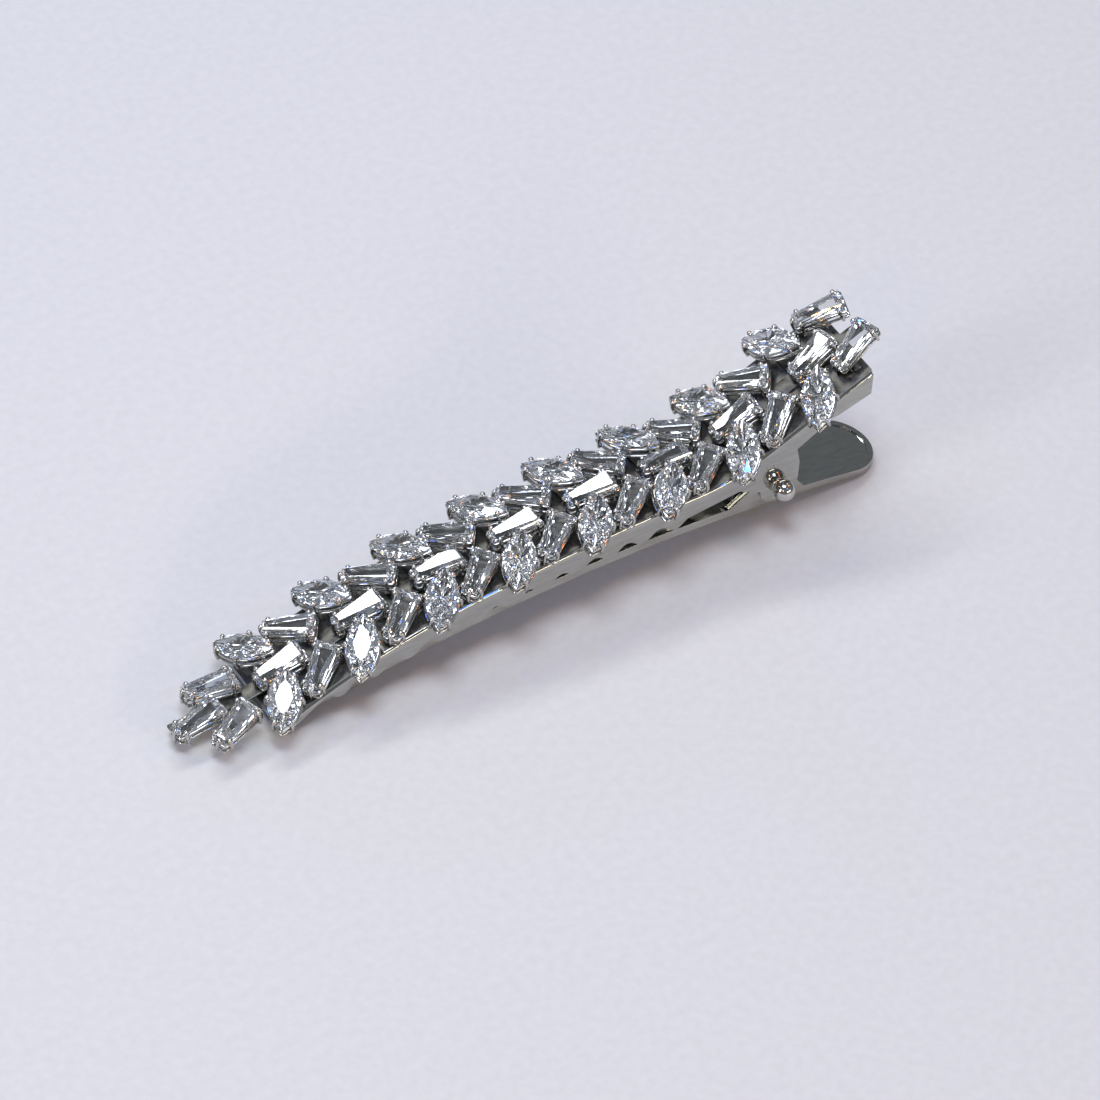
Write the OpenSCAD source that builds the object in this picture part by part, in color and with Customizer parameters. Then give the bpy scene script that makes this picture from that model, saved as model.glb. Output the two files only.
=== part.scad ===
// Rhinestone hair clip: a sprung two-arm clip whose upper arm carries a leaf spray of set stones.
// Millimetres. X runs from the jaw tips to the thumb tabs, Y across, Z up from the resting surface.

/* [Clip body] */
// Length of the lower arm, nose to tab end
lower_len = 79.8; // [76:0.2:82]
// Width of the lower arm
lower_w = 8.8; // [8:0.1:9.2]
// Outside width of the upper arm
upper_w = 11.2; // [10.8:0.1:12]
// Sheet thickness of both arms
sheet_t = 0.7; // [0.5:0.05:0.8]
// Height of the lower arm's arch
arch_h = 4; // [3:0.1:4.5]
// Height of the upper arm's crest
crest_z = 10.2; // [9.8:0.1:11]
// Slope of the upper thumb tab, rise over run
tab_slope = 0.475; // [0.4:0.005:0.5]
// Pitch of the grip teeth along the flange
tooth_pitch = 4.25; // [3.5:0.05:5]
// Depth of a grip tooth, half of peak to valley
tooth_depth = 0.6; // [0.3:0.05:0.7]

/* [Hinge] */
// Radius of the hinge pin
pin_r = 0.8; // [0.7:0.05:1]
// Radial clearance of the pin in each ear
pin_clear = 0.03; // [0.01:0.01:0.08]
// Radius of the ball on each pin end
ball_r = 1.27; // [1.1:0.01:1.4]
// Wire diameter of the spring
wire_d = 0.9; // [0.7:0.1:1]
// Number of turns in the spring coil
coil_turns = 5; // [4:1:6]

/* [Stones] */
// Pitch of the stone stations along the arm
station_pitch = 9.68; // [9.5:0.01:9.8]
// Length of a marquise stone
marquise_len = 7.5; // [7:0.1:7.6]
// Width of a marquise stone
marquise_w = 3.7; // [3.4:0.1:3.8]
// Length of a tapered baguette stone
baguette_len = 6; // [5.6:0.1:6.1]
// Width of a baguette at its wide end
baguette_wide = 3; // [2.8:0.1:3.1]
// Width of a baguette at its narrow end
baguette_narrow = 1.8; // [1.5:0.1:2]
// Height of the stones' girdle above the arm
stone_lift = 1.9; // [1.8:0.05:2.2]

/* [Settings] */
// Radius of a prong wire
prong_r = 0.22; // [0.18:0.01:0.24]
// Radius of a prong's ball tip
tip_r = 0.3; // [0.26:0.01:0.32]
// Height of a gallery rail
rail_h = 0.32; // [0.26:0.02:0.36]

/* [Hidden] */
SIDES = ["near", "far"];
MARQUISES = [for (s = SIDES) for (k = [1:8]) str("marquise_", s, "_", k)];
BAGUETTES = [for (s = ["near", "centre", "far"]) for (k = [0:8]) str("baguette_", s, "_", k)];
SETTINGS = ["marquise_near_settings", "marquise_far_settings", "baguette_near_settings",
    "baguette_centre_settings", "baguette_far_settings"];
METALWORK = ["lower_arm", "upper_arm", "hinge_pin", "torsion_spring", "spray_base"];

// Middle of the whole clip along X, so that the origin is under the middle
mid_x = 33.279;
fine = 48;

// Pin position
pin_x = 62.7;
pin_z = 6.6;
upper_ear_r = 2.5;
lower_ear_r = 2;
pin_gap = 0.1;
ball_y = upper_w / 2 + 1;

// Lower arm: arcs under and over the channel wall
nose_x = -0.9;
arch_mid = 39;
arch_run = 39.7;
wall_crest = 5.2;
wall_r = 180;

// Upper arm: crest arc, nose bend and tab line
crest_x = 50;
crest_r = 225;
bend_x = 20;
bend_r = 60;
kink_x = 56;
kink_blend = 4;
tab_end = 74.1;
flange_mid = 7.1;
flange_r = 249;
jaw_x = -1.2;
// Height to which the nose is cut away inside, clear of the lower arm
jaw_cut = 1.1;
step = 1;

// Upper arm's deck under the spray, levelled out ahead of the jaw
deck_bend = 4;
deck_slope = 0.1;

// Heights of a stone above and below its girdle, and of its setting
crown_h = 0.55;
girdle_h = 0.12;
marquise_depth = 1.2;
baguette_depth = 1.05;
setting_depth = 1.5;
prong_out = prong_r + 0.03;
marquise_lift = stone_lift + 0.2;

// Where the stones stand at each station, and how far each row fans out
marquise_at = [0.35, 4.45];
marquise_fan = 53;
marquise_tilt = 12;
side_at = [5.45, 3.4];
// Room that the stones make for each other over the kink, and for the last pair at the tab
kink_shift = 0.3;
kink_tuck = 0.16;
last_spread = 0.4;
side_fan = 39;
centre_at = [2.3, 0];
// Places and fans of the end stones: X, Y, fan
NEAR_ENDS = [[-5.7, -3.9, -24], [74.1, -2.1, -20]];
CENTRE_ENDS = [[-8.7, -1, -8], [70.3, 0.3, -10]];
FAR_ENDS = [[-5.4, 2.3, 10], [73.8, 4.2, 20]];

function unit(v) = v / norm(v);
function crest_arc(x) = crest_z - pow(x - crest_x, 2) / (2 * crest_r);
function bend_arc(x) = crest_arc(bend_x) - (crest_x - bend_x) / crest_r * (bend_x - x)
    - pow(bend_x - x, 2) / (2 * bend_r);
function tab_line(x) = crest_arc(kink_x) + tab_slope * (x - kink_x);
function kink_slope(x) = (crest_x - kink_x + kink_blend) / crest_r;
function kink_arc(x) = let (a = kink_x - kink_blend, s = kink_slope(a))
    crest_arc(a) + s * (x - a) + (tab_slope - s) * pow(x - a, 2) / (4 * kink_blend);
// Height of the upper arm's top face at x
function top_z(x) = x < bend_x ? bend_arc(x)
    : x < kink_x - kink_blend ? crest_arc(x)
    : x < kink_x + kink_blend ? kink_arc(x) : tab_line(x);
// Height of the deck that carries the spray at x, and its slope angle
function bend_slope(x) = (crest_x - bend_x) / crest_r + (bend_x - x) / bend_r;
function deck_z(x) = let (s = bend_slope(deck_bend), back = deck_bend - x)
    x > deck_bend ? top_z(x)
    : x > -deck_bend
        ? top_z(deck_bend) - s * back + (s - deck_slope) * pow(back, 2) / (4 * deck_bend)
        : top_z(deck_bend) - (s + deck_slope) * deck_bend + deck_slope * (x + deck_bend);
function deck_angle(x) = atan2(deck_z(x + 0.5) - deck_z(x - 0.5), 1);
// Toothed lower edge of the upper arm's flange at x
function flange_z(x) = flange_mid - pow(x - crest_x, 2) / (2 * flange_r)
    - tooth_depth * cos(360 * (x - 6.5) / tooth_pitch);
function arch_z(x) = max(0, arch_h * (1 - pow((x - arch_mid) / arch_run, 2)));
function wall_z(x) = wall_crest - pow(x - arch_mid, 2) / (2 * wall_r);

module in_frame() {
    translate([-mid_x, 0, 0]) children();
}

// A side profile in X and Z given a thickness across Y, centred on Y = 0
module across(width) {
    rotate([90, 0, 0]) translate([0, 0, -width / 2]) linear_extrude(height = width) children();
}

module pin_bore(radius) {
    translate([pin_x, 0, pin_z]) rotate([90, 0, 0])
        cylinder(r = radius, h = 30, center = true, $fn = fine);
}

function ear_arc(r, from, to) = let (turn = to > from ? 10 : -10)
    [for (a = [from:turn:to]) [pin_x + r * cos(a), pin_z + r * sin(a)]];

module lower_profile() {
    xs = [for (x = [nose_x:step:lower_len]) x];
    back = [for (i = [len(xs) - 1:-1:0]) xs[i]];
    polygon(concat(
        [for (x = xs) [x, arch_z(x)]],
        [for (x = back) if (x > pin_x + 3.4) [x, wall_z(x)]],
        ear_arc(lower_ear_r, 0, 180),
        [for (x = back) if (x < pin_x - 5.4) [x, wall_z(x)]]));
}

module lower_plan(inset) {
    r = lower_w / 2 - inset;
    end = nose_x + lower_len - lower_w / 2;
    translate([nose_x - (inset > 0 ? 1 : 0), -r]) square([end - nose_x + (inset > 0 ? 1 : 0), 2 * r]);
    translate([end, 0]) circle(r = r, $fn = 64);
}

module lower_arm() {
    in_frame() color("silver") difference() {
        intersection() {
            across(lower_w + 2) lower_profile();
            linear_extrude(height = 20) lower_plan(0);
        }
        intersection() {
            across(lower_w + 2) polygon(concat(
                [for (x = [nose_x - 2:step:lower_len + 2]) [x, arch_z(x) + sheet_t]],
                [[lower_len + 2, 20], [nose_x - 2, 20]]));
            linear_extrude(height = 20) lower_plan(sheet_t);
        }
        pin_bore(pin_r + pin_clear);
    }
}

module upper_profile() {
    tooth_step = tooth_pitch / 12;
    toothed_end = 50.5;
    polygon(concat(
        [for (x = [jaw_x:step:tab_end]) [x, top_z(x)]],
        [[tab_end, top_z(tab_end)], [tab_end, top_z(tab_end) - 3.4], [70, 14], [68.8, 13.9],
            [68.2, 13.3], [pin_x + 2, 11.2], [pin_x + upper_ear_r, 9]],
        ear_arc(upper_ear_r, 0, -180),
        [[57.3, 8.2]],
        [for (x = [toothed_end:-tooth_step:4.4]) [x, flange_z(x)]],
        [[3.4, 2.9], [-0.4, 0.2], [jaw_x, 0.9]]));
}

module upper_arm() {
    inside = upper_w - 2 * sheet_t;
    in_frame() color("silver") difference() {
        across(upper_w) upper_profile();
        across(inside) polygon(concat(
            [for (x = [-0.1:step:tab_end + 1]) [x, top_z(x) - sheet_t]],
            [[tab_end + 1, -1], [-0.1, -1]]));
        translate([jaw_x - 1, -inside / 2, -1]) cube([4, inside, jaw_cut + 1]);
        pin_bore(pin_r + pin_clear);
    }
}

module hinge_pin() {
    inner = upper_w / 2 + pin_gap;
    in_frame() color("gainsboro") translate([pin_x, 0, pin_z]) {
        rotate([90, 0, 0]) cylinder(r = pin_r, h = 2 * ball_y, center = true, $fn = fine);
        for (s = [-1, 1]) {
            translate([0, s * ball_y, 0]) sphere(r = ball_r, $fn = fine);
            translate([0, s * (inner + 0.25), 0]) rotate([90, 0, 0])
                cylinder(r = pin_r + 0.2, h = 0.5, center = true, $fn = fine);
        }
    }
}

// Torsion spring: a leg under the upper tab, the coil, and a leg over the lower tab
coil_r = pin_r + wire_d / 2 + 0.65;
coil_w = coil_turns * (wire_d + 0.12);
upper_leg = [46, 8.4];
lower_leg = [14, 7.4];
coil_end = 360 * coil_turns + 180 - lower_leg[0];
function coil_point(a) = [-coil_r * sin(a), coil_w * (a / coil_end - 0.5), coil_r * cos(a)];
function leg_end(a, direction, length) = coil_point(a) + length * direction;
SPRING_PATH = concat(
    [leg_end(upper_leg[0], [cos(upper_leg[0]), 0, sin(upper_leg[0])], upper_leg[1])],
    [for (a = [upper_leg[0]:18:coil_end - 1]) coil_point(a)],
    [coil_point(coil_end),
        leg_end(coil_end, [cos(lower_leg[0]), 0, -sin(lower_leg[0])], lower_leg[1])]);

// A round wire along a list of points, as one closed solid
module wire_along(points, radius, sides) {
    n = len(points);
    ahead = [for (i = [0:n - 1]) unit(points[min(i + 1, n - 1)] - points[max(i - 1, 0)])];
    rings = [for (i = [0:n - 1])
        let (u = unit(cross(ahead[i], [0, 1, 0])), v = cross(ahead[i], u))
            [for (j = [0:sides - 1]) let (a = 360 * j / sides)
                points[i] + radius * (cos(a) * u + sin(a) * v)]];
    stacked(rings);
}

// A closed solid through a stack of rings with the same number of points
module stacked(rings) {
    n = len(rings[0]);
    last = len(rings) - 1;
    walls = [for (i = [0:last - 1]) for (j = [0:n - 1]) let (k = (j + 1) % n)
        each [[i * n + j, i * n + k, (i + 1) * n + j], [i * n + k, (i + 1) * n + k, (i + 1) * n + j]]];
    caps = [for (j = [1:n - 2]) each [[0, j + 1, j], [last * n, last * n + j, last * n + j + 1]]];
    polyhedron([for (r = rings) each r], concat(walls, caps), convexity = 8);
}

module torsion_spring() {
    in_frame() color("dimgray") translate([pin_x, 0, pin_z])
        wire_along(SPRING_PATH, wire_d / 2, 8);
}

// Places a child on the deck at x, y, raised by lift, leaning outwards and turned about its own axis
module on_deck(x, y, lift, lean, turn) {
    translate([x, 0, deck_z(x)]) rotate([0, -deck_angle(x), 0]) translate([0, y, lift])
        rotate([lean, 0, 0]) rotate([0, 0, turn]) children();
}

function station_x(k) = station_pitch * (k - 1);
function side_sign(side) = side == "near" ? -1 : side == "far" ? 1 : 0;

module at_marquise(side, k) {
    s = side_sign(side);
    x = station_x(k) + marquise_at[0] + (k == 7 ? kink_shift : 0);
    y = s * (marquise_at[1] + (k == 8 ? last_spread : 0));
    on_deck(x, y, marquise_lift, -s * marquise_tilt, 180 - s * marquise_fan) children();
}

module at_baguette(side, k) {
    s = side_sign(side);
    ends = s < 0 ? NEAR_ENDS : s > 0 ? FAR_ENDS : CENTRE_ENDS;
    at = s == 0 ? centre_at : side_at;
    tuck = k == 6 && s != 0 ? kink_tuck : 0;
    place = k == 0 ? ends[0] : k == 8 ? ends[1]
        : [station_x(k) + at[0] + tuck, s * (at[1] - tuck), s * side_fan];
    on_deck(place[0], place[1], stone_lift, 0, 180 - place[2]) children();
}

// Outline of a marquise at angle a: two arcs that meet in points at both ends
function marquise_edge(a, half_l, half_w) = let (
        r = (pow(half_l, 2) + pow(half_w, 2)) / (2 * half_w), x = half_l * cos(a),
        y = sqrt(pow(r, 2) - pow(x, 2)) - (r - half_w))
    [x, sin(a) < 0 ? -y : y];
function marquise_ring(shrink, z, shift) = [for (i = [0:11])
    let (p = marquise_edge(30 * i + shift, marquise_len / 2, marquise_w / 2))
        [p[0] * shrink, p[1] * shrink, z]];

module marquise_stone() {
    stacked([
        marquise_ring(0.12, -marquise_depth, 0),
        marquise_ring(0.6, -marquise_depth * 0.55, 15),
        marquise_ring(1, -girdle_h, 0),
        marquise_ring(1, 0, 0),
        marquise_ring(0.78, crown_h * 0.65, 15),
        marquise_ring(0.56, crown_h, 0)]);
}

// Outline of a tapered baguette, narrow end towards +X, grown outwards by grow
function baguette_edge(grow) = [
    [-baguette_len / 2 - grow, -baguette_wide / 2 - grow],
    [baguette_len / 2 + grow, -baguette_narrow / 2 - grow],
    [baguette_len / 2 + grow, baguette_narrow / 2 + grow],
    [-baguette_len / 2 - grow, baguette_wide / 2 + grow]];
function baguette_ring(inset, z) = [for (p = baguette_edge(-inset)) [p[0], p[1], z]];

module baguette_stone() {
    stacked([
        baguette_ring(baguette_narrow / 2 - 0.08, -baguette_depth),
        baguette_ring(0.4, -baguette_depth * 0.5),
        baguette_ring(0, -girdle_h),
        baguette_ring(0, 0),
        baguette_ring(0.22, crown_h * 0.6),
        baguette_ring(0.45, crown_h)]);
}

// A prong beside the girdle with its ball tip over the stone's edge; out points away from the stone
module prong(at, out) {
    foot = at + prong_out * out;
    translate([foot[0], foot[1], -setting_depth]) cylinder(r = prong_r, h = setting_depth + 0.3, $fn = 16);
    translate([foot[0] - 0.1 * out[0], foot[1] - 0.1 * out[1], 0.36]) sphere(r = tip_r, $fn = 16);
}

module marquise_outline(grow) {
    half_l = marquise_len / 2 + grow;
    half_w = marquise_w / 2 + grow;
    r = (pow(half_l, 2) + pow(half_w, 2)) / (2 * half_w);
    intersection() {
        translate([0, half_w - r]) circle(r = r, $fn = 96);
        translate([0, r - half_w]) circle(r = r, $fn = 96);
    }
}

module baguette_outline(grow) {
    polygon(baguette_edge(grow));
}

module marquise_setting() {
    for (level = [-setting_depth, -setting_depth * 0.45])
        translate([0, 0, level]) linear_extrude(height = rail_h) difference() {
            marquise_outline(0.14);
            marquise_outline(-0.36);
        }
    for (a = [40, 90, 140, 220, 270, 320])
        let (p = marquise_edge(a, marquise_len / 2, marquise_w / 2), flat = 0.55,
            out = unit([p[0] * flat * marquise_w / marquise_len, p[1]]))
            prong(p, out);
}

module baguette_setting() {
    slant = unit([(baguette_wide - baguette_narrow) / 2, baguette_len]);
    for (level = [-setting_depth, -setting_depth * 0.45])
        translate([0, 0, level]) linear_extrude(height = rail_h) difference() {
            baguette_outline(0.14);
            baguette_outline(-0.2);
        }
    for (f = [0.12, 0.88]) for (s = [-1, 1])
        let (x = baguette_len * (f - 0.5),
             half = baguette_wide / 2 + f * (baguette_narrow - baguette_wide) / 2)
            prong([x, s * half], [slant[0], s * slant[1]]);
    prong([baguette_len / 2, 0], [1, 0]);
}

// Rib along the deck and cross bars under each pair of settings
module spray_base() {
    clear = 0.02;
    deep = 0.34;
    in_frame() color("silver") {
        across(1.8) strip(-11.5, 76, clear, clear + deep);
        for (k = [1:8]) {
            across(7.6) strip(station_x(k) - 0.25, station_x(k) + 0.55, clear, clear + deep);
            if (k < 8) across(7.6) strip(station_x(k) + 5.2, station_x(k) + 6, clear, clear + deep);
        }
        across(8.4) strip(-6.3, -5.5, clear, clear + deep);
        across(8.4) strip(72.6, 73.4, clear, clear + deep);
    }
}

module strip(x0, x1, low, high) {
    n = ceil((x1 - x0) / 1.2);
    xs = [for (i = [0:n]) x0 + (x1 - x0) * i / n];
    polygon(concat([for (x = xs) [x, deck_z(x) + low]],
        [for (i = [n:-1:0]) [xs[i], deck_z(xs[i]) + high]]));
}

module marquise_row(side) {
    in_frame() color("gainsboro") for (k = [1:8]) at_marquise(side, k) marquise_setting();
}

module baguette_row(side) {
    in_frame() color("gainsboro") for (k = [0:8]) at_baguette(side, k) baguette_setting();
}

lower_arm();
upper_arm();
hinge_pin();
torsion_spring();
spray_base();
for (side = SIDES)
    marquise_row(side);
for (side = ["near", "centre", "far"])
    baguette_row(side);
for (side = SIDES) for (k = [1:8])
    in_frame() color("aliceblue") at_marquise(side, k) marquise_stone();
for (side = ["near", "centre", "far"]) for (k = [0:8])
    in_frame() color("aliceblue") at_baguette(side, k) baguette_stone();
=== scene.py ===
import math
import random

import bmesh
import bpy
import numpy as np
from mathutils import Matrix, Vector


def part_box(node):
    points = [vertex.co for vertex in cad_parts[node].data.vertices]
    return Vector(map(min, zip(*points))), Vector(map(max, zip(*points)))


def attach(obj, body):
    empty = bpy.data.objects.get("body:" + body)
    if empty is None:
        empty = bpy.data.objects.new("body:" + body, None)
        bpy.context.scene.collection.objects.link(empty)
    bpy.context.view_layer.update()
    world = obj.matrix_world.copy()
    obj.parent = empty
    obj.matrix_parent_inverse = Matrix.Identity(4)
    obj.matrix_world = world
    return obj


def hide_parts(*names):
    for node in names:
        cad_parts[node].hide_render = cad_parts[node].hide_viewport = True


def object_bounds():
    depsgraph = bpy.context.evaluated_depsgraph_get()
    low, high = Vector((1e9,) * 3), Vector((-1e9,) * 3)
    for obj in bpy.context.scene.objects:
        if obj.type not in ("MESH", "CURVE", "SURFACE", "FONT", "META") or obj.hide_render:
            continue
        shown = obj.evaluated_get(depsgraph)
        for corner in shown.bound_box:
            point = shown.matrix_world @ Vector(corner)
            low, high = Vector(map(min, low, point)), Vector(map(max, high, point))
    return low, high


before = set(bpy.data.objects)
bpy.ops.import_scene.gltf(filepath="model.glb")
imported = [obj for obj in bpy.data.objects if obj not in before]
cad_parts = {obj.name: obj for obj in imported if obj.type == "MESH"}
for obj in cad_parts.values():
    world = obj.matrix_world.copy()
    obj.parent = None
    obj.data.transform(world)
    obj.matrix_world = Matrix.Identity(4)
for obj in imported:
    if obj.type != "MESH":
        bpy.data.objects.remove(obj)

CAD_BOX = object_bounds()
MM = 0.001
LOWER, UPPER = "lower_jaw", "upper_jaw"

# ---------------------------------------------------------------- sizes shared with the metalwork, mm
CROWN_H = 0.55          # stone's table above its girdle
GIRDLE_H = 0.12
BAGUETTE_NARROW = 0.9   # half the narrow end of a baguette
RAIL_LEVELS = (-1.34, -0.515)   # middles of the two gallery rails, from the girdle
RAIL_HALF_HIGH = 0.16
PRONG_OUT = 0.25        # middle of a prong outside the girdle
STONE_FIT = 0.985       # a stone against its solid, so that metal and stone don't share faces
PIN_R = 0.8
NECK_R = 0.9            # pin just inside each ball
PIN_SIDES = 48
BALL_R = 1.27           # ball at each end of the pin
WIRE_R = 0.45
COIL_TURNS = 5
COIL_GAP = 0.12         # between one turn and the next
COIL_CLEAR = 0.65       # from the pin to the inside of the coil


# ---------------------------------------------------------------- materials
def linear(hex_colour):
    """An sRGB hex colour as linear RGBA."""
    parts = [int(hex_colour[i:i + 2], 16) / 255 for i in (1, 3, 5)]
    return tuple(c / 12.92 if c <= 0.04045 else ((c + 0.055) / 1.055) ** 2.4 for c in parts) + (1.0,)


def add(tree, kind, values=None, **settings):
    """Adds a node. values gives each input a number, a colour or another node's output."""
    made = tree.nodes.new(kind)
    for name, value in settings.items():
        setattr(made, name, value)
    for socket, value in (values or {}).items():
        if isinstance(value, bpy.types.NodeSocket):
            tree.links.new(value, made.inputs[socket])
        else:
            made.inputs[socket].default_value = value
    return made


def ramp(tree, factor, stops):
    """A colour ramp through (position, hex colour) stops."""
    made = add(tree, "ShaderNodeValToRGB", {"Fac": factor})
    points = made.color_ramp.elements
    while len(points) < len(stops):
        points.new(0.5)
    for point, (place, colour) in zip(points, stops):
        point.position = place
        point.color = linear(colour)
    return made.outputs["Color"]


def new_material(name):
    material = bpy.data.materials.new(name)
    material.use_nodes = True
    tree = material.node_tree
    tree.nodes.clear()
    place = add(tree, "ShaderNodeTexCoord").outputs["Object"]
    return material, tree, place


def finish_material(tree, shader):
    add(tree, "ShaderNodeOutputMaterial", {"Surface": shader.outputs["BSDF"]})


def plated(name, tints, gloss, ripple, ripple_mm, mark_mm, stretch=(1.0, 1.0, 1.0)):
    """Electroplated metal: bright, with the faint swell of the sheet or casting under the plate and the
    hazy streaks that buffing leaves, which shift its gloss a little."""
    material, tree, place = new_material(name)
    swell = add(tree, "ShaderNodeTexNoise", {
        "Vector": place, "Scale": 1 / (ripple_mm * MM), "Detail": 2.0, "Roughness": 0.45})
    streak_place = add(tree, "ShaderNodeMapping", {"Vector": place, "Scale": stretch}).outputs["Vector"]
    streaks = add(tree, "ShaderNodeTexNoise", {
        "Vector": streak_place, "Scale": 1 / (mark_mm * MM), "Detail": 5.0, "Roughness": 0.6})
    haze = add(tree, "ShaderNodeMapRange", {
        "Value": streaks.outputs["Fac"], "From Min": 0.3, "From Max": 0.75,
        "To Min": gloss[0], "To Max": gloss[1]})
    low = add(tree, "ShaderNodeBump", {
        "Height": swell.outputs["Fac"], "Strength": 1.0, "Distance": ripple * MM})
    fine = add(tree, "ShaderNodeBump", {
        "Height": streaks.outputs["Fac"], "Strength": 1.0, "Distance": ripple * 0.06 * MM,
        "Normal": low.outputs["Normal"]})
    shader = add(tree, "ShaderNodeBsdfPrincipled", {
        "Base Color": ramp(tree, streaks.outputs["Fac"], [(0.3, tints[0]), (0.7, tints[1])]),
        "Metallic": 1.0, "Roughness": haze.outputs["Result"], "Normal": fine.outputs["Normal"]})
    finish_material(tree, shader)
    return material


# Stamped steel sheet under bright nickel-rhodium plate: mirror white with a slight swell from the press
SHEET_PLATE = plated("bright_plate_on_sheet", ("#A9A8A1", "#BCBBB4"), (0.035, 0.10), 0.010, 5.0, 0.5,
                     (0.15, 1.0, 1.0))
# Cast settings, tumbled and plated: a little softer, with tiny dimples
SETTING_PLATE = plated("tumbled_plate_on_casting", ("#B8B7B3", "#D0CFCB"), (0.05, 0.13), 0.012, 0.9, 0.25)
# Turned pin heads, buffed after plating
PIN_PLATE = plated("buffed_pin_plate", ("#BFBEB9", "#D2D1CC"), (0.03, 0.07), 0.004, 2.5, 0.3)
# The arm's top and the rib under the spray: a satin plate whose dark grey colour is painted shade, standing
# in for the shadow of the stones over it
PAINTED_SHADE_PLATE = plated("satin_plate_painted_shade", ("#4C4B48", "#686762"), (0.26, 0.46), 0.02, 1.2, 0.35)
# Hard drawn spring wire: greyer, with die lines
SPRING_STEEL = plated("drawn_spring_wire", ("#8F9092", "#B4B5B6"), (0.16, 0.34), 0.010, 0.6, 0.18,
                      (1.0, 0.3, 1.0))


def cut_stone(name):
    """Cubic zirconia: colourless, very high index, polished, with the faintest lines of the polishing lap."""
    material, tree, place = new_material(name)
    lap = add(tree, "ShaderNodeTexNoise", {
        "Vector": place, "Scale": 1 / (0.6 * MM), "Detail": 3.0, "Roughness": 0.5})
    tone = add(tree, "ShaderNodeTexNoise", {"Vector": place, "Scale": 1 / (6.0 * MM), "Detail": 1.0})
    polish = add(tree, "ShaderNodeMapRange", {
        "Value": lap.outputs["Fac"], "From Min": 0.4, "From Max": 0.8, "To Min": 0.0, "To Max": 0.02})
    # The lap leaves a facet very slightly domed, so the glint of a lamp can end inside it
    dome = add(tree, "ShaderNodeTexNoise", {"Vector": place, "Scale": 1 / (2.2 * MM), "Detail": 0.0})
    swell = add(tree, "ShaderNodeBump", {
        "Height": dome.outputs["Fac"], "Strength": 1.0, "Distance": 0.011 * MM})
    shader = add(tree, "ShaderNodeBsdfPrincipled", {
        "Base Color": ramp(tree, tone.outputs["Fac"], [(0.35, "#F7FAFF"), (0.65, "#FFFFFF")]),
        "Metallic": 0.0, "Roughness": polish.outputs["Result"], "IOR": 2.15, "Transmission Weight": 1.0,
        "Normal": swell.outputs["Normal"]})
    finish_material(tree, shader)
    return material


ZIRCONIA = cut_stone("cubic_zirconia")


# ---------------------------------------------------------------- mesh helpers
def mesh_object(name, mesh):
    piece = bpy.data.objects.new(name, mesh)
    bpy.context.scene.collection.objects.link(piece)
    return piece


def from_bmesh(name, bm):
    mesh = bpy.data.meshes.new(name)
    bm.to_mesh(mesh)
    bm.free()
    return mesh_object(name, mesh)


def evaluated_mesh(piece):
    graph = bpy.context.evaluated_depsgraph_get()
    return bpy.data.meshes.new_from_object(piece.evaluated_get(graph))


def settle(piece, name, material):
    """The piece with its modifiers applied, as a plain mesh object; the working object goes."""
    mesh = evaluated_mesh(piece)
    bpy.data.objects.remove(piece)
    mesh.name = name
    mesh.materials.clear()
    mesh.materials.append(material)
    return mesh_object(name, mesh)


def skin(bm, rings, cap=True, smooth=True):
    """Faces through a stack of rings of points; returns the rings' vertices."""
    made = [[bm.verts.new(p) for p in ring] for ring in rings]
    count = len(made[0])
    for low, high in zip(made, made[1:]):
        for j in range(count):
            k = (j + 1) % count
            bm.faces.new((low[j], low[k], high[k], high[j])).smooth = smooth
    if cap:
        bm.faces.new(list(reversed(made[0]))).smooth = smooth
        bm.faces.new(made[-1]).smooth = smooth
    return made


def hand_over(piece, name_of_slot, body, *nodes):
    """Puts a piece on the body it rides on and hides the solids it stands for. name_of_slot is not used."""
    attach(piece, body)
    if nodes:
        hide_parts(*nodes)
    return piece


# ---------------------------------------------------------------- where each stone sits
def seat(name):
    """A stone's own frame and half sizes, from its solid: X towards its narrow end, Z through its table."""
    points = np.array([v.co[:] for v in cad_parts[name].data.vertices])
    points = np.unique(points.round(7), axis=0)
    middle = points.mean(0)
    spread, axes = np.linalg.eigh(np.cov((points - middle).T))
    along, up = axes[:, 2], axes[:, 0]
    if up[2] < 0:
        up = -up
    local_x = (points - middle) @ along
    across = np.cross(up, along)
    local_y = np.abs((points - middle) @ across)
    front = local_y[local_x > 0.8 * local_x.max()].max()
    back = local_y[local_x < 0.8 * local_x.min()].max()
    if front > back + 1e-5:
        along = -along
        across = np.cross(up, along)
    local = np.stack([(points - middle) @ along, (points - middle) @ across, (points - middle) @ up])
    low, high = local.min(1), local.max(1)
    girdle = np.array([(low[0] + high[0]) / 2, (low[1] + high[1]) / 2, high[2] - CROWN_H * MM])
    origin = middle + girdle[0] * along + girdle[1] * across + girdle[2] * up
    place = Matrix((along, across, up)).transposed().to_4x4()
    place.translation = Vector(origin)
    return place, (high - low) / 2 / MM


SWAY = random.Random(7)
SWAY_DEGREES = 3.0


def set_by_hand(place, lean):
    """A seat as a hand leaves it: the row's lean, outwards, and up to SWAY_DEGREES each way of its own."""
    tilt = Matrix.Rotation(math.radians(SWAY.uniform(-SWAY_DEGREES, SWAY_DEGREES)), 4, "Y")
    roll = Matrix.Rotation(math.radians(SWAY.uniform(-SWAY_DEGREES, SWAY_DEGREES)), 4, "X")
    outward_lean = Matrix.Rotation(math.radians(-lean), 3, "X") @ place.to_3x3()
    turned = outward_lean.to_4x4() @ tilt @ roll
    turned.translation = place.translation
    return turned


def stones_of(prefix):
    return sorted(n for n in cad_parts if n.startswith(prefix) and n[len(prefix):].isdigit())


MARQUISE_ROWS = {side: stones_of(f"marquise_{side}_") for side in ("near", "far")}
BAGUETTE_ROWS = {side: stones_of(f"baguette_{side}_") for side in ("near", "centre", "far")}
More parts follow.
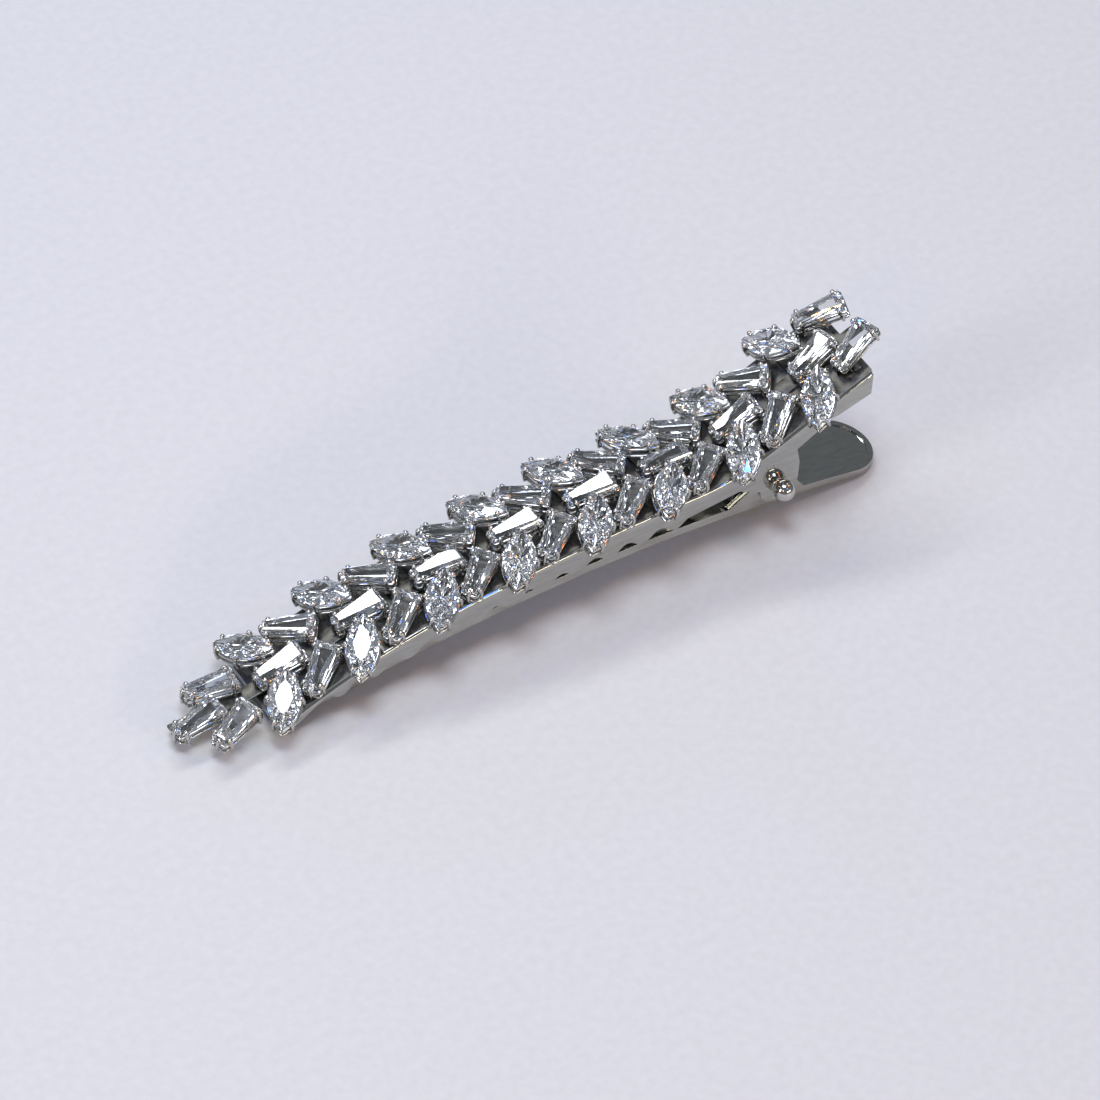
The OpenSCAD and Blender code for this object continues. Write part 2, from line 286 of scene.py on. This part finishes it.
# Half the length and half the width of each cut, mm
MARQUISE_L, MARQUISE_W = seat(MARQUISE_ROWS["near"][0])[1][:2]
BAGUETTE_L, BAGUETTE_WIDE = seat(BAGUETTE_ROWS["centre"][0])[1][:2]


def marquise_point(turn, grow=0.0):
    """A point of the marquise outline, two arcs that meet in points, at a turn in degrees."""
    half_l, half_w = MARQUISE_L + grow, MARQUISE_W + grow
    radius = (half_l ** 2 + half_w ** 2) / (2 * half_w)
    x = half_l * math.cos(math.radians(turn))
    y = math.sqrt(radius ** 2 - x ** 2) - (radius - half_w)
    return Vector((x, y if math.sin(math.radians(turn)) >= 0 else -y, 0))


def baguette_corners(grow=0.0):
    return [Vector((-BAGUETTE_L - grow, -BAGUETTE_WIDE - grow, 0)),
            Vector((BAGUETTE_L + grow, -BAGUETTE_NARROW - grow, 0)),
            Vector((BAGUETTE_L + grow, BAGUETTE_NARROW + grow, 0)),
            Vector((-BAGUETTE_L - grow, BAGUETTE_WIDE + grow, 0))]


# ---------------------------------------------------------------- cut stones
def marquise_stone():
    """Marquise brilliant: table, eight stars, eight kites, sixteen upper halves, girdle, and a pavilion of
    eight mains and sixteen lower halves."""
    bm = bmesh.new()

    def ring(count, start, share, z):
        return [bm.verts.new((marquise_point(start + 360 * i / count) * share + Vector((0, 0, z))) * MM)
                for i in range(count)]
    table = ring(8, 0, 0.54, CROWN_H)
    stars = ring(8, 22.5, 0.79, CROWN_H * 0.62)
    rim = ring(32, 0, 1.0, 0.0)
    foot = ring(32, 0, 1.0, -GIRDLE_H)
    deep = ring(8, 22.5, 0.36, -0.92)
    culet = bm.verts.new(Vector((0, 0, -1.2)) * MM)
    bm.faces.new(table)
    for i in range(8):
        k = (i + 1) % 8
        bm.faces.new((table[i], stars[i], table[k]))
        bm.faces.new((table[k], stars[i], rim[4 * k], stars[k]))
        bm.faces.new((culet, deep[k], foot[4 * k], deep[i]))
        for j in (0, 2):
            edge = [4 * i + j, 4 * i + j + 1, (4 * i + j + 2) % 32]
            bm.faces.new([stars[i]] + [rim[e] for e in edge])
            bm.faces.new([deep[i]] + [foot[e] for e in reversed(edge)])
    for j in range(32):
        k = (j + 1) % 32
        bm.faces.new((foot[j], foot[k], rim[k], rim[j]))
    bmesh.ops.recalc_face_normals(bm, faces=bm.faces)
    return from_bmesh("marquise_pattern", bm)


def baguette_stone():
    """Tapered baguette: a step cut, with three steps above the girdle and four below."""
    bm = bmesh.new()
    steps = [(-1.05, 0.82), (-0.9, 0.66), (-0.66, 0.44), (-0.38, 0.2), (-GIRDLE_H, 0.0), (0.0, 0.0),
             (0.2, 0.13), (0.4, 0.3), (CROWN_H, 0.5)]
    rings = [[(corner + Vector((0, 0, z))) * MM for corner in baguette_corners(-inset)]
             for z, inset in steps]
    skin(bm, rings, smooth=False)
    bmesh.ops.recalc_face_normals(bm, faces=bm.faces)
    return from_bmesh("baguette_pattern", bm)


# ---------------------------------------------------------------- settings
def outward(points, i):
    """Unit vector in the plane, away from a closed outline that runs anticlockwise."""
    run = points[(i + 1) % len(points)] - points[i - 1]
    return Vector((run.y, -run.x, 0)).normalized()


def rail(bm, outline, level, half_wide, inset):
    """A gallery rail: a soft-edged bar that follows an outline."""
    section = [(math.copysign(abs(math.cos(t)) ** 0.7, math.cos(t)) * half_wide,
                math.copysign(abs(math.sin(t)) ** 0.7, math.sin(t)) * RAIL_HALF_HIGH)
               for t in (math.radians(22.5 + 45 * i) for i in range(8))]
    made = []
    for i, point in enumerate(outline):
        out = outward(outline, i)
        made.append([bm.verts.new((point + out * (u - inset) + Vector((0, 0, level + v))) * MM)
                     for u, v in section])
    for i in range(len(made)):
        low, high = made[i], made[(i + 1) % len(made)]
        for j in range(8):
            k = (j + 1) % 8
            bm.faces.new((low[j], high[j], high[k], low[k])).smooth = True


# Height, radius and lean towards the stone of each ring of a prong, mm
PRONG_RINGS = [(-1.5, 0.15, 0.03), (-1.44, 0.21, 0.02), (-0.45, 0.2, 0.0), (-0.22, 0.2, 0.05),
               (-0.12, 0.25, 0.14), (-0.01, 0.31, 0.21), (0.12, 0.32, 0.25), (0.25, 0.27, 0.28),
               (0.35, 0.13, 0.29)]


def prong(bm, foot, out):
    """A prong: a wire up beside the girdle, bent in, and beaded over the stone's edge."""
    rings = []
    for z, radius, lean in PRONG_RINGS:
        centre = foot - out * lean + Vector((0, 0, z))
        rings.append([(centre + Vector((math.cos(t), math.sin(t), 0)) * radius) * MM
                      for t in (math.radians(45 * i) for i in range(8))])
    skin(bm, rings)


def marquise_setting():
    bm = bmesh.new()
    outline = [marquise_point(11.25 * i) for i in range(32)]
    for level in RAIL_LEVELS:
        rail(bm, outline, level, 0.24, 0.11)
    flat = 0.55     # how far the end prongs turn to face along the stone
    for turn in (40, 90, 140, 220, 270, 320):
        point = marquise_point(turn)
        out = Vector((point.x * flat * MARQUISE_W / MARQUISE_L, point.y, 0)).normalized()
        prong(bm, point + out * PRONG_OUT, out)
    bmesh.ops.recalc_face_normals(bm, faces=bm.faces)
    return from_bmesh("marquise_setting_pattern", bm)


def baguette_setting():
    bm = bmesh.new()
    outline = []
    corners = baguette_corners()
    for i in range(4):
        here, after = corners[i], corners[(i + 1) % 4]
        run = (after - here).normalized()
        outline += [here + run * 0.12, here.lerp(after, 0.5), after - run * 0.12]
    for level in RAIL_LEVELS:
        rail(bm, outline, level, 0.17, 0.03)
    slant = Vector((BAGUETTE_WIDE - BAGUETTE_NARROW, 2 * BAGUETTE_L, 0)).normalized()
    for share in (0.12, 0.88):
        half = BAGUETTE_WIDE + share * (BAGUETTE_NARROW - BAGUETTE_WIDE)
        for s in (-1, 1):
            out = Vector((slant.x, s * slant.y, 0))
            foot = Vector((2 * BAGUETTE_L * (share - 0.5), s * half, 0))
            prong(bm, foot + out * PRONG_OUT, out)
    prong(bm, Vector((BAGUETTE_L + PRONG_OUT, 0, 0)), Vector((1, 0, 0)))
    bmesh.ops.recalc_face_normals(bm, faces=bm.faces)
    return from_bmesh("baguette_setting_pattern", bm)


# ---------------------------------------------------------------- rows of stones and settings
def row_tree():
    """Geometry Nodes that stand a pattern at each seat, turned as the seat says."""
    tree = bpy.data.node_groups.new("row_of_seats", "GeometryNodeTree")
    face = tree.interface
    face.new_socket("Seats", in_out="INPUT", socket_type="NodeSocketGeometry")
    face.new_socket("Pattern", in_out="INPUT", socket_type="NodeSocketObject")
    face.new_socket("Size", in_out="INPUT", socket_type="NodeSocketFloat").default_value = 1.0
    face.new_socket("Finish", in_out="INPUT", socket_type="NodeSocketMaterial")
    face.new_socket("Row", in_out="OUTPUT", socket_type="NodeSocketGeometry")
    given = add(tree, "NodeGroupInput").outputs
    pattern = add(tree, "GeometryNodeObjectInfo", {"Object": given["Pattern"]})
    turn = add(tree, "GeometryNodeInputNamedAttribute", {"Name": "turn"}, data_type="FLOAT_VECTOR")
    rotation = add(tree, "FunctionNodeEulerToRotation", {"Euler": turn.outputs["Attribute"]})
    stood = add(tree, "GeometryNodeInstanceOnPoints", {
        "Points": given["Seats"], "Instance": pattern.outputs["Geometry"],
        "Rotation": rotation.outputs["Rotation"], "Scale": given["Size"]})
    whole = add(tree, "GeometryNodeRealizeInstances", {"Geometry": stood.outputs["Instances"]})
    finished = add(tree, "GeometryNodeSetMaterial", {
        "Geometry": whole.outputs["Geometry"], "Material": given["Finish"]})
    add(tree, "NodeGroupOutput", {"Row": finished.outputs["Geometry"]})
    return tree


def identifier(tree, name):
    """The key that a modifier knows a Geometry Nodes input by."""
    return next(item.identifier for item in tree.interface.items_tree
                if item.name == name and item.in_out == "INPUT")


def row(name, tree, seats, pattern, material, size=1.0):
    """One row of a pattern at its seats, as a plain mesh."""
    mesh = bpy.data.meshes.new(name + "_seats")
    mesh.from_pydata([place.translation for place in seats], [], [])
    turns = mesh.attributes.new("turn", "FLOAT_VECTOR", "POINT")
    turns.data.foreach_set("vector", [c for place in seats for c in place.to_euler("XYZ")])
    work = mesh_object(name + "_work", mesh)
    nodes = work.modifiers.new("row", "NODES")
    nodes.node_group = tree
    for socket, value in (("Pattern", pattern), ("Size", size), ("Finish", material)):
        nodes[identifier(tree, socket)] = value
    return settle(work, name, material)


# Further lean of the side rows, degrees, over what their solids have
ROW_LEAN = {"marquise": 0.0, "baguette": 7.0}


def make_rows():
    tree = row_tree()
    patterns = {"marquise": (marquise_stone(), marquise_setting()),
                "baguette": (baguette_stone(), baguette_setting())}
    for cut, rows in (("marquise", MARQUISE_ROWS), ("baguette", BAGUETTE_ROWS)):
        stone, setting = patterns[cut]
        for side, names in rows.items():
            lean = ROW_LEAN[cut] * {"near": -1, "centre": 0, "far": 1}[side]
            seats = [set_by_hand(seat(name)[0], lean) for name in names]
            stones = row(f"{cut}_{side}_stones", tree, seats, stone, ZIRCONIA, STONE_FIT)
            hand_over(stones, "clear_stone", UPPER, *names)
            metal = row(f"{cut}_{side}_galleries", tree, seats, setting, SETTING_PLATE)
            hand_over(metal, "setting_metal", UPPER, f"{cut}_{side}_settings")
    for pair in patterns.values():
        for pattern in pair:
            bpy.data.objects.remove(pattern)


# ---------------------------------------------------------------- stamped arms
def stamped(name, node, material, ease, fold=0.0):
    """A stamped sheet part: its solid's faces joined up, its folds rounded and its cut edges eased."""
    bm = bmesh.new()
    bm.from_mesh(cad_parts[node].data)
    bmesh.ops.remove_doubles(bm, verts=bm.verts, dist=2e-6)
    bmesh.ops.dissolve_limit(bm, angle_limit=math.radians(0.01), verts=bm.verts, edges=bm.edges)
    # A fold is an outer edge between the sheet's top and a flange
    weight = bm.edges.layers.float.new("bevel_weight_edge")
    for edge in bm.edges:
        if len(edge.link_faces) != 2 or edge.calc_face_angle_signed(0) < math.radians(35):
            continue
        one, other = (f.normal for f in edge.link_faces)
        if {round(abs(one.y)), round(abs(other.y))} == {0, 1} \
                and min(abs(one.z), abs(other.z)) < 0.1 and max(one.z, other.z) > 0.7:
            edge[weight] = 1.0
    for face in bm.faces:
        face.smooth = True
    piece = from_bmesh(name + "_work", bm)
    if fold:
        bend = piece.modifiers.new("fold", "BEVEL")
        bend.limit_method = "WEIGHT"
        bend.width = fold * MM
        bend.segments = 4
        bend.use_clamp_overlap = False
    if ease:
        edges = piece.modifiers.new("ease", "BEVEL")
        edges.limit_method = "ANGLE"
        edges.angle_limit = math.radians(40)
        edges.width = ease * MM
        edges.segments = 2
    normals = piece.modifiers.new("flats", "WEIGHTED_NORMAL")
    normals.weight = 100
    return settle(piece, name, material)


def make_arms():
    upper = stamped("toothed_upper_arm", "upper_arm", SHEET_PLATE, 0.1, 0.5)
    upper.data.materials.append(PAINTED_SHADE_PLATE)
    # The faces that look up, under the spray, take the second finish, the plate with painted shade
    for face in upper.data.polygons:
        if face.normal.z > 0.75 and abs(face.normal.y) < 0.2:
            face.material_index = 1
    hand_over(upper, "silver_plate", UPPER, "upper_arm")
    hand_over(stamped("arched_lower_arm", "lower_arm", SHEET_PLATE, 0.1), "silver_plate", LOWER,
              "lower_arm")
    # The rib under the spray is all in the dark grey plate with painted shade
    hand_over(stamped("spray_rib", "spray_base", PAINTED_SHADE_PLATE, 0.0), "silver_plate", UPPER, "spray_base")


# ---------------------------------------------------------------- hinge pin and spring
def pin_centre():
    low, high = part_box("hinge_pin")
    return (low + high) / 2, (high.y - low.y) / 2 / MM


def make_pin():
    """The pin, turned in one piece: a shaft, then a thin collar, a neck and a ball at each end."""
    centre, reach = pin_centre()
    ball = reach - BALL_R
    collar_r = 1.0
    # Distance from the middle and radius, mm
    half = [(0.0, PIN_R), (ball - 1.28, PIN_R), (ball - 1.24, 0.98), (ball - 1.02, collar_r),
            (ball - 0.96, NECK_R)]
    start = math.acos(NECK_R / BALL_R)
    ball_steps = 12
    for i in range(ball_steps):
        t = math.pi - start - (math.pi - start) * i / ball_steps
        half.append((ball + BALL_R * math.cos(t), BALL_R * math.sin(t)))
    profile = [(-y, r) for y, r in reversed(half)] + half[1:]
    bm = bmesh.new()
    rings = [[centre + Vector((math.cos(t) * r, y, math.sin(t) * r)) * MM
              for t in (math.tau * i / PIN_SIDES for i in range(PIN_SIDES))] for y, r in profile]
    made = skin(bm, rings, cap=False)
    for ring, y in ((made[0], -reach), (made[-1], reach)):
        pole = bm.verts.new(centre + Vector((0, y, 0)) * MM)
        for j in range(PIN_SIDES):
            bm.faces.new((ring[j], ring[(j + 1) % PIN_SIDES], pole)).smooth = True
    bmesh.ops.recalc_face_normals(bm, faces=bm.faces)
    piece = from_bmesh("ball_ended_pin", bm)
    piece.data.materials.append(PIN_PLATE)
    hand_over(piece, "polished_pin", LOWER, "hinge_pin")


def round_wire(name, points, radius, material):
    """A round wire along points, with domed ends."""
    curve = bpy.data.curves.new(name, "CURVE")
    curve.dimensions = "3D"
    curve.bevel_depth = radius * MM
    curve.bevel_resolution = 3
    curve.use_fill_caps = True
    line = curve.splines.new("POLY")
    line.points.add(len(points) - 1)
    for point, place in zip(line.points, points):
        point.co = (*place, 1.0)
    for end in (line.points[0], line.points[-1]):
        end.radius = 0.75
    work = mesh_object(name + "_work", curve)
    piece = settle(work, name, material)
    for face in piece.data.polygons:
        face.use_smooth = len(face.vertices) == 4
    return piece


def make_spring():
    """The torsion spring: the coil with its lower leg stays on the lower arm, and the upper leg moves with
    the upper arm."""
    centre, _ = pin_centre()
    radius = PIN_R + WIRE_R + COIL_CLEAR
    width = COIL_TURNS * (2 * WIRE_R + COIL_GAP)
    # Each leg's angle above or below level, degrees, and its length, mm
    upper_turn, upper_leg = 46, 8.4
    lower_turn, lower_leg = 14, 7.4
    last = 360 * COIL_TURNS + 180 - lower_turn
    # How far the upper leg lies over the coil's end, degrees, so that the two stay joined as it turns
    overlap = 40

    def coil(turn):
        t = math.radians(turn)
        return Vector((-radius * math.sin(t), width * (turn / last - 0.5), radius * math.cos(t)))

    def place(points):
        return [centre + p * MM for p in points]
    turns = [coil(upper_turn + (last - upper_turn) * i / 120) for i in range(121)]
    t = math.radians(lower_turn)
    down = Vector((math.cos(t), 0, -math.sin(t)))
    body = turns + [coil(last) + down * lower_leg * share for share in (0.3, 0.6, 0.96, 1.0)]
    piece = round_wire("spring_coil", place(body), WIRE_R, SPRING_STEEL)
    hand_over(piece, "spring_wire", LOWER, "torsion_spring")
    t = math.radians(upper_turn)
    up = Vector((math.cos(t), 0, math.sin(t)))
    leg = [coil(upper_turn + overlap - 8 * i) for i in range(5)]
    leg += [coil(upper_turn) + up * upper_leg * share for share in (0.0, 0.3, 0.6, 0.96, 1.0)]
    piece = round_wire("spring_upper_leg", place(leg), WIRE_R, SPRING_STEEL)
    hand_over(piece, "spring_wire", UPPER)


# ---------------------------------------------------------------- studio
def make_floor():
    """A plain pale tabletop, large enough for every view."""
    material, tree, place = new_material("pale_tabletop")
    grain = add(tree, "ShaderNodeTexNoise", {"Vector": place, "Scale": 900.0, "Detail": 4.0})
    bump = add(tree, "ShaderNodeBump", {
        "Height": grain.outputs["Fac"], "Strength": 0.08, "Distance": 0.05 * MM})
    shader = add(tree, "ShaderNodeBsdfPrincipled", {
        "Base Color": ramp(tree, grain.outputs["Fac"], [(0.3, "#D4D4D2"), (0.7, "#DADAD8")]),
        "Roughness": 0.55, "Normal": bump.outputs["Normal"]})
    finish_material(tree, shader)
    sides, radius_m = 48, 3
    bm = bmesh.new()
    middle = bm.verts.new((0, 0, 0))
    rim = [bm.verts.new((radius_m * math.cos(t), radius_m * math.sin(t), 0))
           for t in (math.tau * i / sides for i in range(sides))]
    for i in range(sides):
        bm.faces.new((middle, rim[i], rim[(i + 1) % sides]))
    floor = from_bmesh("tabletop", bm)
    floor.data.materials.append(material)


def softbox(name, direction, distance, width, height, power, colour="#FFFFFF"):
    """A softbox that faces the clip from a direction: distance and size in metres, power in watts."""
    low, high = CAD_BOX
    target = (Vector(low) + Vector(high)) / 2
    lamp = bpy.data.lights.new(name, "AREA")
    lamp.shape = "RECTANGLE"
    lamp.size, lamp.size_y = width, height
    lamp.energy = power
    lamp.color = linear(colour)[:3]
    piece = bpy.data.objects.new(name, lamp)
    piece.location = target + Vector(direction).normalized() * distance
    piece.rotation_euler = Vector(direction).to_track_quat("Z", "Y").to_euler()
    bpy.context.scene.collection.objects.link(piece)


def make_lights():
    """A long softbox behind and above, which the stones' tables mirror, a weaker one overhead, and dim grey
    surroundings that leave the metal its dark edges."""
    softbox("key_softbox", (0.05, 0.56, 0.78), 0.6, 0.5, 0.06, 1.1)
    softbox("top_softbox", (-0.1, -0.05, 1.0), 0.7, 0.3, 0.22, 2.5, "#E8EFFF")
    softbox("left_softbox", (-0.95, -0.1, 0.5), 0.7, 0.12, 0.3, 1.0)
    softbox("front_strip", (0.35, -0.95, 0.4), 0.7, 0.45, 0.06, 1.0, "#FFF0DC")
    # Small tinted lamps, too weak to colour the tabletop, give the cut stones their blue and amber fire
    for i, (direction, colour) in enumerate((
            ((-0.5, 0.35, 0.8), "#2E6BFF"), ((0.6, -0.2, 0.75), "#FF8A2E"), ((0.2, -0.6, 0.8), "#3F7DFF"),
            ((-0.6, -0.5, 0.6), "#FFB060"), ((0.5, 0.8, 0.35), "#5B8CFF"))):
        softbox(f"fire_lamp_{i + 1}", direction, 0.6, 0.035, 0.035, 0.18, colour)
    world = bpy.data.worlds.new("studio")
    world.use_nodes = True
    background = world.node_tree.nodes["Background"]
    background.inputs["Color"].default_value = linear("#B3BAC4")
    background.inputs["Strength"].default_value = 0.42
    scene = bpy.context.scene
    scene.world = world
    scene.view_settings.view_transform = "Standard"
    # Light crosses a cut stone many times before it leaves
    scene.cycles.max_bounces = 32
    scene.cycles.glossy_bounces = 24
    scene.cycles.transmission_bounces = 24


def make_camera():
    """A long lens, to the jaw side and above, rolled a little."""
    azimuth, elevation, roll = math.radians(-35.7), math.radians(47), math.radians(4.6)
    shown_mm = 119.6        # width of the view at the clip
    aim_right, aim_up = 2.2, -3.3       # middle of the view, from the clip's own, mm
    back = Vector((math.sin(azimuth) * math.cos(elevation), -math.cos(azimuth) * math.cos(elevation),
                   math.sin(elevation)))
    level = Vector((math.cos(azimuth), math.sin(azimuth), 0))
    rise = back.cross(level)
    right = level * math.cos(roll) + rise * math.sin(roll)
    up = rise * math.cos(roll) - level * math.sin(roll)
    low, high = CAD_BOX
    aim = (Vector(low) + Vector(high)) / 2 + (right * aim_right + up * aim_up) * MM
    lens = bpy.data.cameras.new("camera")
    lens.lens = 200
    lens.sensor_width = 36
    lens.clip_start = 0.01
    lens.clip_end = 20
    distance = shown_mm * MM * lens.lens / lens.sensor_width
    camera = bpy.data.objects.new("camera", lens)
    turn = Matrix((right, up, back)).transposed().to_4x4()
    camera.matrix_world = Matrix.Translation(aim + back * distance) @ turn
    bpy.context.scene.collection.objects.link(camera)
    bpy.context.scene.camera = camera


make_camera()
make_arms()
make_pin()
make_spring()
make_rows()
make_floor()
make_lights()
